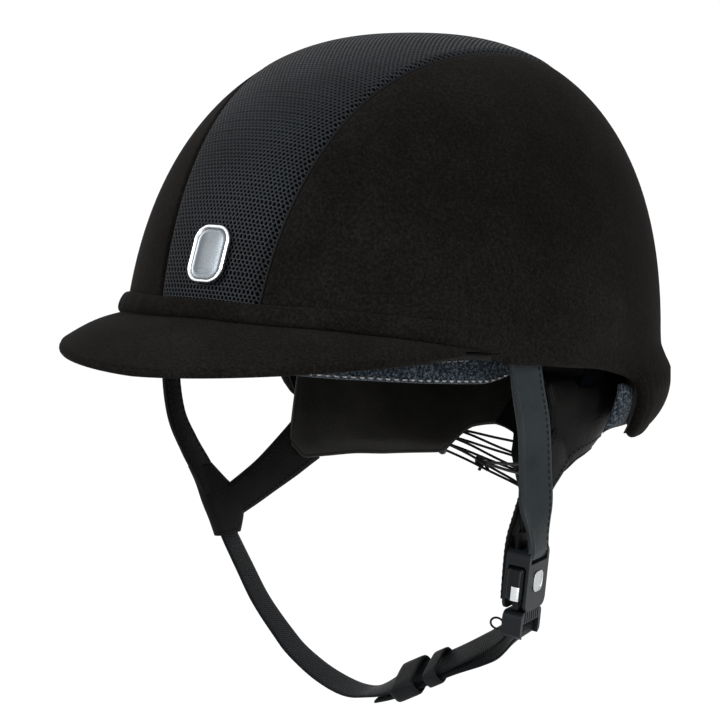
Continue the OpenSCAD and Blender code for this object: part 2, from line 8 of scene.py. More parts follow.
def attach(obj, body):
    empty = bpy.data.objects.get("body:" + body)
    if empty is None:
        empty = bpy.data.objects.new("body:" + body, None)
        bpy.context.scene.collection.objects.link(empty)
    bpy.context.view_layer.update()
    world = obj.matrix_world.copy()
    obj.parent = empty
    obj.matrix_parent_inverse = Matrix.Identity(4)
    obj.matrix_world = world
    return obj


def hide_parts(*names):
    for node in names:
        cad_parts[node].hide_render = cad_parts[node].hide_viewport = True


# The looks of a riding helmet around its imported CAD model.
# Lengths in this script are millimetres, turned into metres when a mesh is made.
MM = 0.001

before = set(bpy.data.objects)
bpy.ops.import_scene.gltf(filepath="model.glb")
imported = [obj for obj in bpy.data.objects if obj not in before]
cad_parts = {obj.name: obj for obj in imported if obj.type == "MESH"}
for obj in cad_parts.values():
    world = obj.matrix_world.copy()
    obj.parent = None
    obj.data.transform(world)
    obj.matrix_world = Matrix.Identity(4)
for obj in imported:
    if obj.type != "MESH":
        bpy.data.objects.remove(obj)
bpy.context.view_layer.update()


def vec(x, y, z):
    return Vector((x, y, z))


# ---------- camera, light and floor ----------

# the photograph's view: degrees round to the helmet's left and above level
VIEW_TURN, VIEW_RISE, VIEW_LENS, VIEW_DISTANCE = 39.2, 5.0, 157.9, 1.4
VIEW_CENTRE, VIEW_AIM = vec(0, 0, 0.06), vec(-0.0084, -0.0124, 0.0107)
WORLD_LIGHT, FLOOR_Z, FLOOR_HALF = 1.04, -1.6, 60
# place, aim, size and power of each softbox
SOFTBOXES = {"key": ((-0.7, -1.3, 0.9), (0, 0, 0), (0.5, 0.7), 26),
             "side": ((1.5, -0.3, 0.7), (0, 0, 0), (0.4, 0.8), 26),
             "low": ((0.5, -1.2, -0.25), (0, 0, -0.05), (0.5, 0.2), 6)}


def add_object(name, data, at=(0, 0, 0), aim=None):
    """Puts a new object in the scene, pointed at aim if that is given."""
    made = bpy.data.objects.new(name, data)
    bpy.context.scene.collection.objects.link(made)
    made.location = at
    if aim is not None:
        made.rotation_euler = (Vector(aim) - Vector(at)).to_track_quat("-Z", "Y").to_euler()
    return made


def make_camera():
    back = vec(sind(VIEW_TURN) * cosd(VIEW_RISE), -cosd(VIEW_TURN) * cosd(VIEW_RISE), sind(VIEW_RISE))
    data = bpy.data.cameras.new("camera")
    data.lens = VIEW_LENS
    data.clip_end = 100
    bpy.context.scene.camera = add_object("camera", data, VIEW_CENTRE + back * VIEW_DISTANCE, VIEW_AIM)


def make_studio():
    world = bpy.data.worlds.new("studio")
    world.use_nodes = True
    background = world.node_tree.nodes["Background"]
    background.inputs["Strength"].default_value = WORLD_LIGHT
    background.inputs["Color"].default_value = (1, 1, 1, 1)
    bpy.context.scene.world = world
    bpy.context.scene.view_settings.view_transform = "Standard"
    for name, (at, aim, size, power) in SOFTBOXES.items():
        data = bpy.data.lights.new(name, "AREA")
        data.shape = "RECTANGLE"
        data.size, data.size_y = size
        data.energy = power
        add_object(name, data, at, aim)
    data = bpy.data.meshes.new("floor")
    bm = bmesh.new()
    bmesh.ops.create_grid(bm, x_segments=1, y_segments=1, size=FLOOR_HALF)
    bm.to_mesh(data)
    bm.free()
    plain("floor_white", (1.0, 1.0, 1.0), 1.0)
    data.materials.append(MATS["floor_white"])
    add_object("floor", data, (0, 0, FLOOR_Z))


# ---------- materials ----------

MATS = {}


class Look:
    """A Principled material, kept in MATS by name, and a short way to add and join nodes."""

    def __init__(self, name, rough=0.6, specular=0.5, **sockets):
        MATS[name] = bpy.data.materials.new(name)
        MATS[name].use_nodes = True
        self.tree = MATS[name].node_tree
        self.shader = self.tree.nodes["Principled BSDF"]
        self.shader.inputs["Roughness"].default_value = rough
        self.shader.inputs["Specular IOR Level"].default_value = specular
        for socket, value in sockets.items():
            self.shader.inputs[socket.replace("_", " ")].default_value = value
        self.place = self.add("TexCoord").outputs["Object"]
        self.along = self.tree.nodes["Texture Coordinate"].outputs["UV"]

    def add(self, kind, inputs=(), **settings):
        made = self.tree.nodes.new("ShaderNode" + kind)
        for key, value in settings.items():
            setattr(made, key, value)
        for key, value in dict(inputs).items():
            if isinstance(value, bpy.types.NodeSocket):
                self.tree.links.new(value, made.inputs[key])
            else:
                made.inputs[key].default_value = value
        return made

    def noise(self, scale, detail=3.0, rough=0.6, where=None):
        inputs = {"Vector": where or self.place, "Scale": scale, "Detail": detail, "Roughness": rough}
        return self.add("TexNoise", inputs).outputs["Fac"]

    def cells(self, scale):
        return self.add("TexVoronoi", {"Vector": self.place, "Scale": scale}).outputs["Distance"]

    def maths(self, operation, a, b=0.0):
        return self.add("Math", {0: a, 1: b}, operation=operation).outputs[0]

    def colour(self, value, stops):
        """Base colour from a ramp: each stop is (place, colour)."""
        made = self.add("ValToRGB", {"Fac": value})
        bar = made.color_ramp
        while len(bar.elements) < len(stops):
            bar.elements.new(0.5)
        for element, (place, shade) in zip(bar.elements, stops):
            element.position = place
            element.color = (*shade, 1)
        self.tree.links.new(made.outputs["Color"], self.shader.inputs["Base Color"])

    def mottle(self, scale, detail, share, shade):
        """A shade that dips to a share of itself in soft patches."""
        self.colour(self.noise(scale, detail), [(0.3, [v * share for v in shade]), (0.7, shade)])

    def rough(self, value, low, high):
        spread = self.add("MapRange", {"Value": value, "To Min": low, "To Max": high})
        self.tree.links.new(spread.outputs["Result"], self.shader.inputs["Roughness"])

    def bump(self, *layers):
        """Each layer is (height, depth in metres)."""
        normal = None
        for height, depth in layers:
            made = self.add("Bump", {"Height": height, "Distance": depth, "Strength": 1.0})
            if normal:
                self.tree.links.new(normal, made.inputs["Normal"])
            normal = made.outputs["Normal"]
        self.tree.links.new(normal, self.shader.inputs["Normal"])


def grey(value, warm=0.0):
    """A near-grey: warm above 0 leans to red, below 0 to blue."""
    return (value * (1 + warm), value, value * (1 - warm))


def plain(name, shade, rough):
    look = Look(name, rough)
    look.mottle(6, 3.0, 0.99, shade)


def suede():
    look = Look("suede", 0.9, 0.025, Sheen_Weight=0.012, Sheen_Roughness=0.5, Sheen_Tint=(0.7, 0.6, 0.55, 1))
    stroke = look.noise(16, 4, 0.62)
    nap = look.noise(760, 3, 0.7)
    both = look.maths("ADD", look.maths("MULTIPLY", stroke, 0.4), look.maths("MULTIPLY", nap, 0.6))
    look.colour(both, [(0.36, grey(0.0008, 0.07)), (0.5, grey(0.0025, 0.09)), (0.66, grey(0.0062, 0.1))])
    look.bump((nap, 0.00022), (look.noise(60, 2), 0.00025))


def mesh_knit():
    look = Look("mesh_knit", 0.36, 0.12)
    look.colour(look.noise(30, 3), [(0.35, (0.0018, 0.0025, 0.0036)), (0.7, (0.0042, 0.0058, 0.0082))])
    yarn = look.add("TexWave", {"Vector": look.along, "Scale": 1.6, "Distortion": 1.5},
                    wave_type="BANDS", bands_direction="DIAGONAL")
    look.rough(look.noise(900, 2), 0.32, 0.6)
    look.bump((yarn.outputs["Fac"], 0.00012), (look.noise(1500, 2), 0.00008))


def mesh_base():
    look = Look("mesh_base", 0.95, 0.01)
    look.colour(look.noise(300), [(0.3, (0.0003, 0.0004, 0.0006)), (0.7, (0.001, 0.0013, 0.0018))])
    look.bump((look.noise(1200), 0.0001))


def leather(name, low, high, rough, specular):
    look = Look(name, 0.45, specular)
    look.colour(look.noise(45, 4), [(0.3, low), (0.72, high)])
    look.rough(look.noise(120, 3), *rough)
    look.bump((look.noise(55, 5, 0.65), 0.0004), (look.cells(950), 0.00012))


def fleece():
    look = Look("fleece", 0.9, 0.05, Sheen_Weight=0.04, Sheen_Roughness=0.5)
    speck = look.noise(900, 2, 0.75)
    look.colour(speck, [(0.38, (0.003, 0.0045, 0.006)), (0.5, (0.011, 0.015, 0.02)), (0.66, (0.055, 0.068, 0.082))])
    look.bump((speck, 0.0005), (look.noise(180, 3), 0.0006))


def foam():
    look = Look("foam", 0.75, 0.06)
    beads = look.cells(330)
    look.colour(beads, [(0.1, grey(0.006)), (0.6, grey(0.003))])
    look.bump((look.maths("MULTIPLY", beads, -1.0), 0.0006))


def thread(name, shade):
    look = Look(name, 0.6, 0.08)
    twist = look.noise(1400, 2)
    look.colour(twist, [(0.35, grey(shade * 0.6)), (0.65, grey(shade * 1.3))])
    look.bump((twist, 0.0001))


WEAVE = 1.1


def webbing():
    look = Look("webbing", 0.4, 0.045, Sheen_Weight=0.01)
    split = look.add("SeparateXYZ", {"Vector": look.along})
    across, run = split.outputs["X"], split.outputs["Y"]
    ribs = look.maths("SINE", look.maths("MULTIPLY", run, 2 * math.pi / WEAVE))
    zigzag = look.maths("PINGPONG", across, 1.25)
    twill = look.maths("SINE", look.maths("MULTIPLY", look.maths("ADD", run, zigzag), 2 * math.pi / WEAVE))
    fibre = look.noise(1500, 2)
    look.colour(look.maths("ADD", look.maths("MULTIPLY", twill, 0.2), look.noise(60, 3)),
                [(0.3, (0.001, 0.0016, 0.0022)), (0.75, (0.0032, 0.0047, 0.0062))])
    look.rough(fibre, 0.28, 0.5)
    look.bump((look.maths("ADD", ribs, twill), 0.00016), (fibre, 0.00005))


def nylon(name, shade, rough, specular):
    look = Look(name, 0.35, specular)
    look.mottle(25, 3, 0.8, shade)
    look.rough(look.noise(90, 4), *rough)
    look.bump((look.noise(1300, 2), 0.00003))


def metal(name, shade, rough, brushed):
    look = Look(name, rough, 0.5, Metallic=1.0)
    stretched = look.add("Mapping", {"Vector": look.place, "Scale": (40, 40, 1600)})
    scratch = look.noise(1, 4, 0.6, stretched.outputs["Vector"])
    look.mottle(30, 3.0, 0.92, shade)
    look.rough(scratch, rough * 0.7, rough * 1.3)
    look.bump((scratch, brushed))


# ---------- the dome, as in the CAD model ----------

HALF_W, FRONT, BACK, CROWN = 107.0, 130.5, 127.5, 154.5
PLAN_POWER, RISE_POWER, LEAN, TAPER = 2.17, 2.42, 12.3, 0.027
MEAN_LEN = (FRONT + BACK) / 2
COVER_T = 1.2
SHELL_OUT = -(COVER_T + 1.1)
SHELL_IN = SHELL_OUT - 3.0
LINER_OUT = SHELL_IN - 1.2
LINER_T = 16.0
PAD_OUT = LINER_OUT - LINER_T - 1.0
PAD_IN = PAD_OUT - 6.0

RIM = [(0, 37), (30, 35), (48, 30), (56, 27.5), (63.5, 24), (69.4, 22), (79.6, 20), (93.2, 15.5), (97, 13.6),
       (103.3, 9.5), (107, 5), (109.5, -16), (112, -20), (120, -21), (135, -19), (150, -14), (165, -11), (180, -10)]
BAND_LOW = [(0, 39), (30, 36.5), (48, 32.5), (58, 29), (66, 25.5), (74, 24)]
BAND_HIGH = [(0, 47.2), (30, 45.8), (48, 42), (58, 39.5), (66, 37), (74, 34)]
BAND_PROUD = [(0, 4.6), (50, 4.4), (62, 3), (74, 0.9)]


def mix(a, b, t):
    return a + (b - a) * t


def steps(a, b, count):
    """Evenly spaced values from a to b, count steps apart."""
    return [mix(a, b, i / count) for i in range(count + 1)]


def clamp01(v):
    return min(max(v, 0.0), 1.0)


def smooth(t):
    t = clamp01(t)
    return t * t * (3 - 2 * t)


def spow(v, e):
    return math.copysign(abs(v) ** e, v)


def sind(a):
    return math.sin(math.radians(a))


def cosd(a):
    return math.cos(math.radians(a))


def lookup(x, table):
    if x <= table[0][0]:
        return table[0][1]
    for (x0, y0), (x1, y1) in zip(table, table[1:]):
        if x <= x1:
            return mix(y0, y1, (x - x0) / (x1 - x0))
    return table[-1][1]


def soft_lookup(x, table, reach):
    """The table's value averaged over a short reach, which rounds its corners."""
    steps = [x + reach * k / 4 for k in range(-4, 5)]
    return sum(lookup(abs(s), table) for s in steps) / len(steps)


def rim_z(turn):
    return soft_lookup(turn, RIM, 1.6)


def lift_of(z):
    return z if z < 0 else math.degrees(math.asin(clamp01((z / CROWN) ** (RISE_POWER / 2))))


def height_of(lift, off=0.0):
    return lift if lift < 0 else (CROWN + off) * sind(lift) ** (2 / RISE_POWER)


def lobe_flare(a, z):
    t, w = clamp01((20 - z) / 45), clamp01((sind(a) - 0.1) / 0.2)
    return w * (24 * t * (1 - t) - 10 * t ** 3) * smooth(t / 0.35)


def dome(a, lift, off=0.0):
    """Point on the dome at plan angle a (-90 front, 0 left, 90 back) and a lift above the equator."""
    z = height_of(lift, off)
    c = max(cosd(max(lift, 0.0)), 0.0) ** (2 / RISE_POWER)
    grow = off + lobe_flare(a, z)
    depth = (FRONT if sind(a) < 0 else BACK) + grow
    y = depth * spow(sind(a), 2 / PLAN_POWER) * c + LEAN * max(z, 0) / CROWN
    x = (HALF_W + grow) * spow(cosd(a), 2 / PLAN_POWER) * c * (1 + TAPER * y / MEAN_LEN)
    return vec(x, y, z)


def plan_angle(turn, side=1):
    return turn - 90 if side > 0 else 270 - turn


def panel_half(t):
    return 26.5 + 16 * cosd(min(abs(t), 90)) ** 2


def crown_coords(x, t):
    """Plan angle and lift of the dome point at sideways distance x and crown-line angle t."""
    flat = min(t, 90)
    s, share = 1.0, abs(x) / HALF_W
    for _ in range(3):
        plan = (share / s) ** PLAN_POWER + abs(sind(flat)) ** PLAN_POWER
        s = (plan ** (RISE_POWER / PLAN_POWER) + abs(cosd(flat)) ** RISE_POWER) ** (-1 / RISE_POWER)
    px, py = share ** PLAN_POWER, (abs(sind(flat)) * s) ** PLAN_POWER
    c = min((px + py) ** (1 / PLAN_POWER), 1.0)
    quarter = math.degrees(math.atan2(math.sqrt(py), math.sqrt(px)))
    front = -quarter if t < 0 else quarter
    lift = 90 - t if t > 90 else math.degrees(math.acos(c ** (RISE_POWER / 2)))
    return (180 - front if x < 0 else front), lift


def crown(x, t, off=0.0):
    return dome(*crown_coords(x, t), off)


# ---------- mesh helpers ----------

def new_object(name, bm, *looks):
    data = bpy.data.meshes.new(name)
    bmesh.ops.scale(bm, vec=(MM, MM, MM), verts=bm.verts)
    for face in bm.faces:
        face.smooth = True
    bm.to_mesh(data)
    bm.free()
    for look in looks:
        data.materials.append(MATS[look])
    return add_object(name, data)


def hand(side):
    return "left" if side > 0 else "right"


def around(count, closed=False):
    """Cosine and sine at equal steps round a circle; closed repeats the first step."""
    angles = [2 * math.pi * k / count for k in range(count + closed)]
    return [(math.cos(a), math.sin(a)) for a in angles]


def finish(made, slot, *nodes, body="helmet"):
    """Gives a piece its body, and names the CAD nodes that it replaces; its slot is not used."""
    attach(made, body)
    if nodes:
        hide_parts(*nodes)
    return made


def add_grid(bm, rows, closed=False, material=0, flip=False):
    """Quads over rows of points; uv is the distance in millimetres across and along."""
    uv = bm.loops.layers.uv.verify()
    verts = [[bm.verts.new(p) for p in row] for row in rows]
    across = [[0.0] for _ in rows]
    for r, row in enumerate(rows):
        for a, b in zip(row, row[1:] + ([row[0]] if closed else [])):
            across[r].append(across[r][-1] + (b - a).length)
    along = [0.0]
    for r in range(1, len(rows)):
        middle = len(rows[r]) // 2
        along.append(along[-1] + (rows[r][middle] - rows[r - 1][middle]).length)
    count = len(rows[0])
    for r in range(len(rows) - 1):
        for i in range(count if closed else count - 1):
            j = (i + 1) % count
            corners = [(r, i, i), (r, j, i + 1), (r + 1, j, i + 1), (r + 1, i, i)]
            if flip:
                corners.reverse()
            face = bm.faces.new([verts[a][b] for a, b, _ in corners])
            face.material_index = material
            for loop, (a, _, k) in zip(face.loops, corners):
                loop[uv].uv = (across[a][k], along[a])
    return verts


def add_tube(bm, path, radius, sides=8, material=0, flat=1.0, up=None, ends=True):
    """Round or oval tube along a path; radius may be one number or one for each point."""
    rings, last = [], None
    for i, p in enumerate(path):
        h = (path[min(i + 1, len(path) - 1)] - path[max(i - 1, 0)]).normalized()
        guide = last or up or (vec(0, 0, 1) if abs(h.z) < 0.9 else vec(1, 0, 0))
        side = h.cross(guide).normalized()
        rise = side.cross(h).normalized()
        last = rise
        r = radius[i] if isinstance(radius, list) else radius
        rings.append([p + side * r * c + rise * r * flat * s for c, s in around(sides)])
    verts = add_grid(bm, rings, closed=True, material=material)
    if ends:
        bm.faces.new(list(reversed(verts[0]))).material_index = material
        bm.faces.new(verts[-1]).material_index = material


def add_stitches(bm, path, out, material, length=2.4, gap=1.3, radius=0.32, sink=0.1):
    """Short raised stitches along a path; out is the surface's outward direction at each point."""
    run, marks = 0.0, [0.0]
    for a, b in zip(path, path[1:]):
        run += (b - a).length
        marks.append(run)

    def at(s):
        for i in range(len(path) - 1):
            if s <= marks[i + 1]:
                t = (s - marks[i]) / max(marks[i + 1] - marks[i], 1e-6)
                return path[i].lerp(path[i + 1], t), out[i].lerp(out[i + 1], t).normalized()
        return path[-1], out[-1]

    s = gap
    while s + length < run:
        points = []
        for k in range(5):
            p, o = at(s + length * k / 4)
            points.append(p + o * (math.sin(math.pi * k / 4) * radius * 0.9 - sink))
        add_tube(bm, points, [radius * 0.6, radius, radius, radius, radius * 0.6], 6, material)
        s += length + gap


def spline(points, steps):
    """Smooth curve through given points."""
    p = [Vector(q) for q in points]
    out = []
    for i in range(len(p) - 1):
        a, b, c, d = p[max(i - 1, 0)], p[i], p[i + 1], p[min(i + 2, len(p) - 1)]
        for j in range(steps):
            t = j / steps
            out.append(0.5 * (2 * b + (c - a) * t + (2 * a - 5 * b + 4 * c - d) * t * t
                              + (3 * b - a - 3 * c + d) * t ** 3))
    return out + [p[-1]]


def headings(path):
    last = len(path) - 1
    return [(path[min(i + 1, last)] - path[max(i - 1, 0)]).normalized() for i in range(len(path))]


def thicken(made, depth):
    solid = made.modifiers.new("thickness", "SOLIDIFY")
    solid.thickness = depth * MM
    solid.offset = -1
    solid.use_even_offset = False
    return made


def turn_out(bm):
    bmesh.ops.recalc_face_normals(bm, faces=bm.faces)


def close_ends(bm, verts):
    """Caps the first and last ring of a closed grid."""
    bm.faces.new(list(reversed(verts[0])))
    bm.faces.new(verts[-1])
    turn_out(bm)


# points that open surfaces are turned away from
CENTRE, FAR_BELOW, FAR_ABOVE = vec(0, 0, 20), vec(0, 0, -9999), vec(0, 0, 9999)


def face_away(bm, centre=CENTRE):
    """Turns an open grid so that its faces look away from the centre."""
    bm.normal_update()
    facing = sum((f.calc_center_median() - centre).dot(f.normal) * f.calc_area() for f in bm.faces)
    if facing < 0:
        bmesh.ops.reverse_faces(bm, faces=bm.faces)


# ---------- covers, mesh panel and seams ----------

SEAM_FRONT, SEAM_BACK = -73.5, 101
COVER_TURN = [(0, 14), (0.3, 56), (0.45, 79.6), (0.6, 100), (0.7, 107), (0.74, 109.5), (0.78, 112), (0.9, 140),
              (1, 167)]


def cover(side):
    """Suede from the seam down to the rim, rolled under along both."""
    stations, rows = 170, 56
    bm = bmesh.new()
    grid = []
    for r in range(rows + 1):
        line = []
        for u in steps(0, 1, stations):
            t = mix(SEAM_FRONT, SEAM_BACK, u)
            turn = lookup(u, COVER_TURN)
            low = (plan_angle(turn), lift_of(rim_z(turn)))
            top = crown_coords(panel_half(t) + 0.5, t)
            # rows crowd towards the seam and the rim, where the suede rolls under
            v = 0.5 - 0.5 * math.cos(math.pi * r / rows)
            a, lift = mix(low[0], top[0], v), mix(low[1], top[1], v)
            edge = (1 - v) * (top[1] - low[1]) * 1.5
            foot = v * (top[1] - low[1]) * 1.5
            off = -1.7 * math.exp(-(edge / 1.3) ** 2) - 1.0 * math.exp(-(foot / 1.2) ** 2)
            # a little ease where the rear lobe swells out, so the shell stays covered
            off += 0.8 * math.exp(-((turn - 111) / 6) ** 2) * smooth(1 - 2.5 * v) * smooth(edge / 4)
            line.append(dome(a if side > 0 else 180 - a, lift, off))
        grid.append(line)
    add_grid(bm, grid)
    face_away(bm)
    made = thicken(new_object("cover_suede_" + hand(side), bm, "suede"), COVER_T)
    finish(made, "suede", "cover_" + hand(side))


def crown_marks(spacing):
    """Crown-line angles a given distance apart, from the band to the back rim."""
    fine = steps(SEAM_FRONT, SEAM_BACK, 900)
    marks, run, last, due = [], 0.0, crown(0, fine[0]), 0.0
    for t in fine:
        here = crown(0, t)
        run += (here - last).length
        last = here
        if run >= due:
            marks.append(t)
            due += spacing
    return marks


HEXAGON = [(0, 2), (0.5, 1), (0.5, -1), (0, -2), (-0.5, -1), (-0.5, 1)]


def mesh_panel():
    """Spacer mesh: a close net of six-sided holes over a dark base."""
    pitch, rim_share, hole_share, hole_depth = 2.05, 0.75, 0.64, 0.6
    ring_rows = crown_marks(pitch * 0.866 / 3)
    bm = bmesh.new()
    corners = {}

    def corner(col, row):
        key = (round(col * 6), row)
        if key not in corners:
            t = ring_rows[min(max(row, 0), len(ring_rows) - 1)]
            half = panel_half(t)
            x = max(-half, min(half, col * pitch)) + 0.0005
            # the net dips into the seam along its border
            dip = 1.7 * math.exp(-((half - abs(x)) / 1.3) ** 2)
            corners[key] = bm.verts.new(crown(x, t, 0.42 - dip))
        return corners[key]

    for line in range(1, (len(ring_rows) - 3) // 3):
        row = 3 * line
        half = panel_half(ring_rows[row])
        reach = int(half / pitch) + 1
        for k in range(-reach, reach + 1):
            col = k + (0.5 if line % 2 else 0.0)
            if (abs(col) - 0.35) * pitch > half:
                continue
            outer = [corner(col + right, row + up) for right, up in HEXAGON]
            middle = sum((v.co for v in outer), Vector()) / 6
            out = (middle - CENTRE).normalized()
            rim = [bm.verts.new(middle.lerp(v.co, rim_share) - out * 0.02) for v in outer]
            hole = [bm.verts.new(middle.lerp(v.co, hole_share) - out * hole_depth) for v in outer]
            for k2 in range(6):
                n = (k2 + 1) % 6
                bm.faces.new([outer[k2], outer[n], rim[n], rim[k2]])
                bm.faces.new([rim[k2], rim[n], hole[n], hole[k2]])
    turn_out(bm)
    face_away(bm)
    net = finish(new_object("mesh_panel_net", bm, "mesh_knit"), "mesh")
    bm = bmesh.new()
    rows = []
    for t in steps(SEAM_FRONT, SEAM_BACK, 120):
        line = []
        for j in range(-20, 21):
            v = j / 20
            sink = 1.1 * math.exp(-((1 - abs(v)) * panel_half(t) / 1.4) ** 2)
            line.append(crown(v * (panel_half(t) - 0.7) + 0.0005, t, -0.25 - sink))
        rows.append(line)
    add_grid(bm, rows)
    face_away(bm)
    made = thicken(new_object("mesh_panel_base", bm, "mesh_base"), 0.9)
    finish(made, "mesh", "mesh_panel")


def seam(side):
    """Welt at the bottom of the groove beside the mesh."""
    bm = bmesh.new()
    path = [crown(side * panel_half(t), t, -1.75) for t in steps(-73, 100.5, 200)]
    add_tube(bm, path, 0.8, 8)
    finish(new_object("seam_welt_" + hand(side), bm, "binding"), "seam", "seam_" + hand(side))


# ---------- brow band, rim binding and peak ----------

BAND_END = 76


def brow_band():
    """Rolled suede band: fullest low down, fading into the dome at its ends."""
    bm = bmesh.new()
    rings = []
    for turn in steps(-BAND_END, BAND_END, 220):
        low = soft_lookup(turn, BAND_LOW, 4)
        high = soft_lookup(turn, BAND_HIGH, 4)
        end = smooth((BAND_END - abs(turn)) / 10)
        proud = soft_lookup(turn, BAND_PROUD, 4) * end * (1 + 0.05 * math.sin(turn * 0.9) * math.sin(turn * 0.23))
        ring = []
        for k in range(20):
            a = -100 + k * 200 / 19
            z = (low + high) / 2 + (high - low) / 2 * sind(a) * mix(0.5, 1, end)
            off = -0.6 + (1.0 + proud) * max(cosd(a * 0.9), 0) ** 0.6 * (0.8 - 0.2 * sind(a))
            ring.append(dome(turn - 90, lift_of(z), off))
        rings.append(ring)
    close_ends(bm, add_grid(bm, rings, closed=True))
    made = finish(new_object("brow_band_roll", bm, "suede"), "suede", "brow_band")


RIM_ROLL_R = 2.7


def rim_binding():
    """Rolled edge round the sides and back."""
    bm = bmesh.new()
    path = [dome(turn - 90, lift_of(rim_z(min(turn, 360 - turn)) + 1.2), -2.75) for turn in steps(70, 290, 240)]
    add_tube(bm, path, RIM_ROLL_R, 16, up=vec(0, 0, 1))
    finish(new_object("rim_binding_tape", bm, "suede"), "seam", "rim_binding")


PEAK_HALF_W, PEAK_LEN, PEAK_ROOT_Y, PEAK_TIP_Z = 95.0, 108.0, -60.0, 22.4
PEAK_ROUND, PEAK_ARCH, PEAK_ROOT_TURN = 2.2, 2.5, 66
PIPING_R, LINING_DROP = 1.2, 2.7


def peak_edge(a):
    x = PEAK_HALF_W * spow(cosd(a), 2 / PEAK_ROUND)
    y = PEAK_ROOT_Y - PEAK_LEN * max(sind(a), 0) ** (2 / PEAK_ROUND)
    return vec(x, y, PEAK_TIP_Z + 5 * (abs(x) / PEAK_HALF_W) ** 1.3)


def peak_surface(drop, inset, rows, cols):
    """Rows of points from the brow to the peak's edge, lowered by drop and short of the edge by inset."""
    grid = []
    for r in range(rows + 1):
        line = []
        for u in steps(0, 1, cols):
            turn = mix(-PEAK_ROOT_TURN, PEAK_ROOT_TURN, u)
            root = dome(turn - 90, lift_of(soft_lookup(turn, BAND_LOW, 3) + 1.2 - drop), 0.6)
            edge = peak_edge(mix(176, 4, u)) - vec(0, 0, drop)
            v = r / rows * (1 - inset / (edge - root).length)
            arch = PEAK_ARCH * math.sin(math.pi * v) * max(math.sin(math.pi * u), 0) ** 0.7
            line.append(root.lerp(edge, v) + vec(0, 0, arch))
        grid.append(line)
    return grid


def peak():
    bm = bmesh.new()
    rows = peak_surface(0.0, 0.9, 30, 140)
    # the suede turns down over the edge onto the piping
    rows.append([p + vec(0, 0, -1.1) for p in peak_surface(0.0, 0.5, 1, 140)[1]])
    add_grid(bm, rows)
    face_away(bm, FAR_BELOW)
    top = thicken(new_object("peak_suede", bm, "suede"), 0.8)
    finish(top, "suede", "peak_cover")
    bm = bmesh.new()
    add_grid(bm, peak_surface(LINING_DROP, 1.2, 20, 120))
    face_away(bm, FAR_ABOVE)
    under = thicken(new_object("peak_lining_cloth", bm, "lining"), 0.6)
    finish(under, "lining", "peak_lining")
    bm = bmesh.new()
    path = [peak_edge(a) + vec(-PIPING_R * cosd(a), PIPING_R * sind(a), -1.5) for a in steps(176, 4, 160)]
    add_tube(bm, path, PIPING_R, 12, flat=1.35, up=vec(0, 0, 1))
    line = [p + vec(0, 0, -1.0) for p in peak_surface(LINING_DROP, 4.0, 1, 160)[1]]
    add_stitches(bm, line, [vec(0, 0, -1)] * len(line), 1, length=2.2, gap=1.1, radius=0.26)
    finish(new_object("peak_edge_piping", bm, "suede", "thread"), "suede", "peak_piping")


# ---------- badge ----------

def badge():
    """Plain rounded plate with a raised border, slightly crowned."""
    centre = crown(0.0005, -66, 0.4)
    place = Matrix.Translation(centre) @ Matrix.Rotation(math.radians(69), 4, "X")
    half_w, half_h, corner, lines = 9.5, 12.5, 7.0, 96

    def outline(inset):
        points = []
        for k, (c, s) in enumerate(around(lines)):
            quarter = k * 4 // lines
            x = (half_w - corner) * (1 if quarter in (0, 3) else -1)
            y = (half_h - corner) * (1 if quarter in (0, 1) else -1)
            points.append((x + (corner - inset) * c, y + (corner - inset) * s))
        return points

    profile = [(0.3, 0.2), (0.0, 0.6), (0.0, 1.9), (0.15, 2.25), (0.5, 2.5), (1.0, 2.5), (1.35, 2.25), (1.5, 1.75),
               (1.9, 1.6), (3.5, 1.72), (5.5, 1.82)]
    bm = bmesh.new()
    rows = [[place @ vec(x, y, h) for x, y in outline(inset)] for inset, h in profile]
    verts = add_grid(bm, rows, closed=True)
    close_ends(bm, verts)
    field = {v for row in verts[7:] for v in row}
    for face in bm.faces:
        if all(v in field for v in face.verts):
            face.material_index = 1
    finish(new_object("badge", bm, "badge_metal", "badge_field"), "badge_metal", "badge_plate")


# ---------- pads and liner ----------

HEADBAND_TALL, CROWN_PAD_T, REAR_PAD_T = 24.0, 5.0, 8.5
PAD_PRESSURE, PAD_SWELL, CLOTH_STEPS = 3.0, 2.5, 12
HEADBAND_LOW = [(0, 20), (40, 16), (60, 13), (80, 10), (96, 12), (110, 15), (170, 18)]


def headband_low(turn):
    """Height of the band's lower edge, raised a little in front of the ears."""
    return soft_lookup(turn, HEADBAND_LOW, 3) + 6 * smooth((turn - 72) / 14) * smooth((150 - turn) / 30)


def headband():
    """Padded band with a sewn lower edge."""
    bm = bmesh.new()
    rings = []
    for turn in steps(-169, 169, 180):
        low = headband_low(turn)
        ring = []
        for c, s in around(24):
            up, full = 0.5 + 0.5 * spow(s, 0.75), spow(c, 0.6)
            pleat = 0.35 * math.sin(turn * 1.3) * full
            off = (PAD_OUT + PAD_IN) / 2 - (3.0 + pleat) * full
            ring.append(dome(turn - 90, lift_of(low + HEADBAND_TALL * up), off))
        rings.append(ring)
    close_ends(bm, add_grid(bm, rings, closed=True))
    line, out = [], []
    for turn in steps(-150, 150, 160):
        p = dome(turn - 90, lift_of(headband_low(turn) + 1.6), PAD_OUT - 0.5)
        line.append(p)
        out.append(vec(p.x, p.y, -60).normalized())
    add_stitches(bm, line, out, 1, length=2.0, gap=1.6, radius=0.4)
    made = finish(new_object("headband_fleece", bm, "fleece", "pale_thread"), "pad_fabric", "headband_pad")


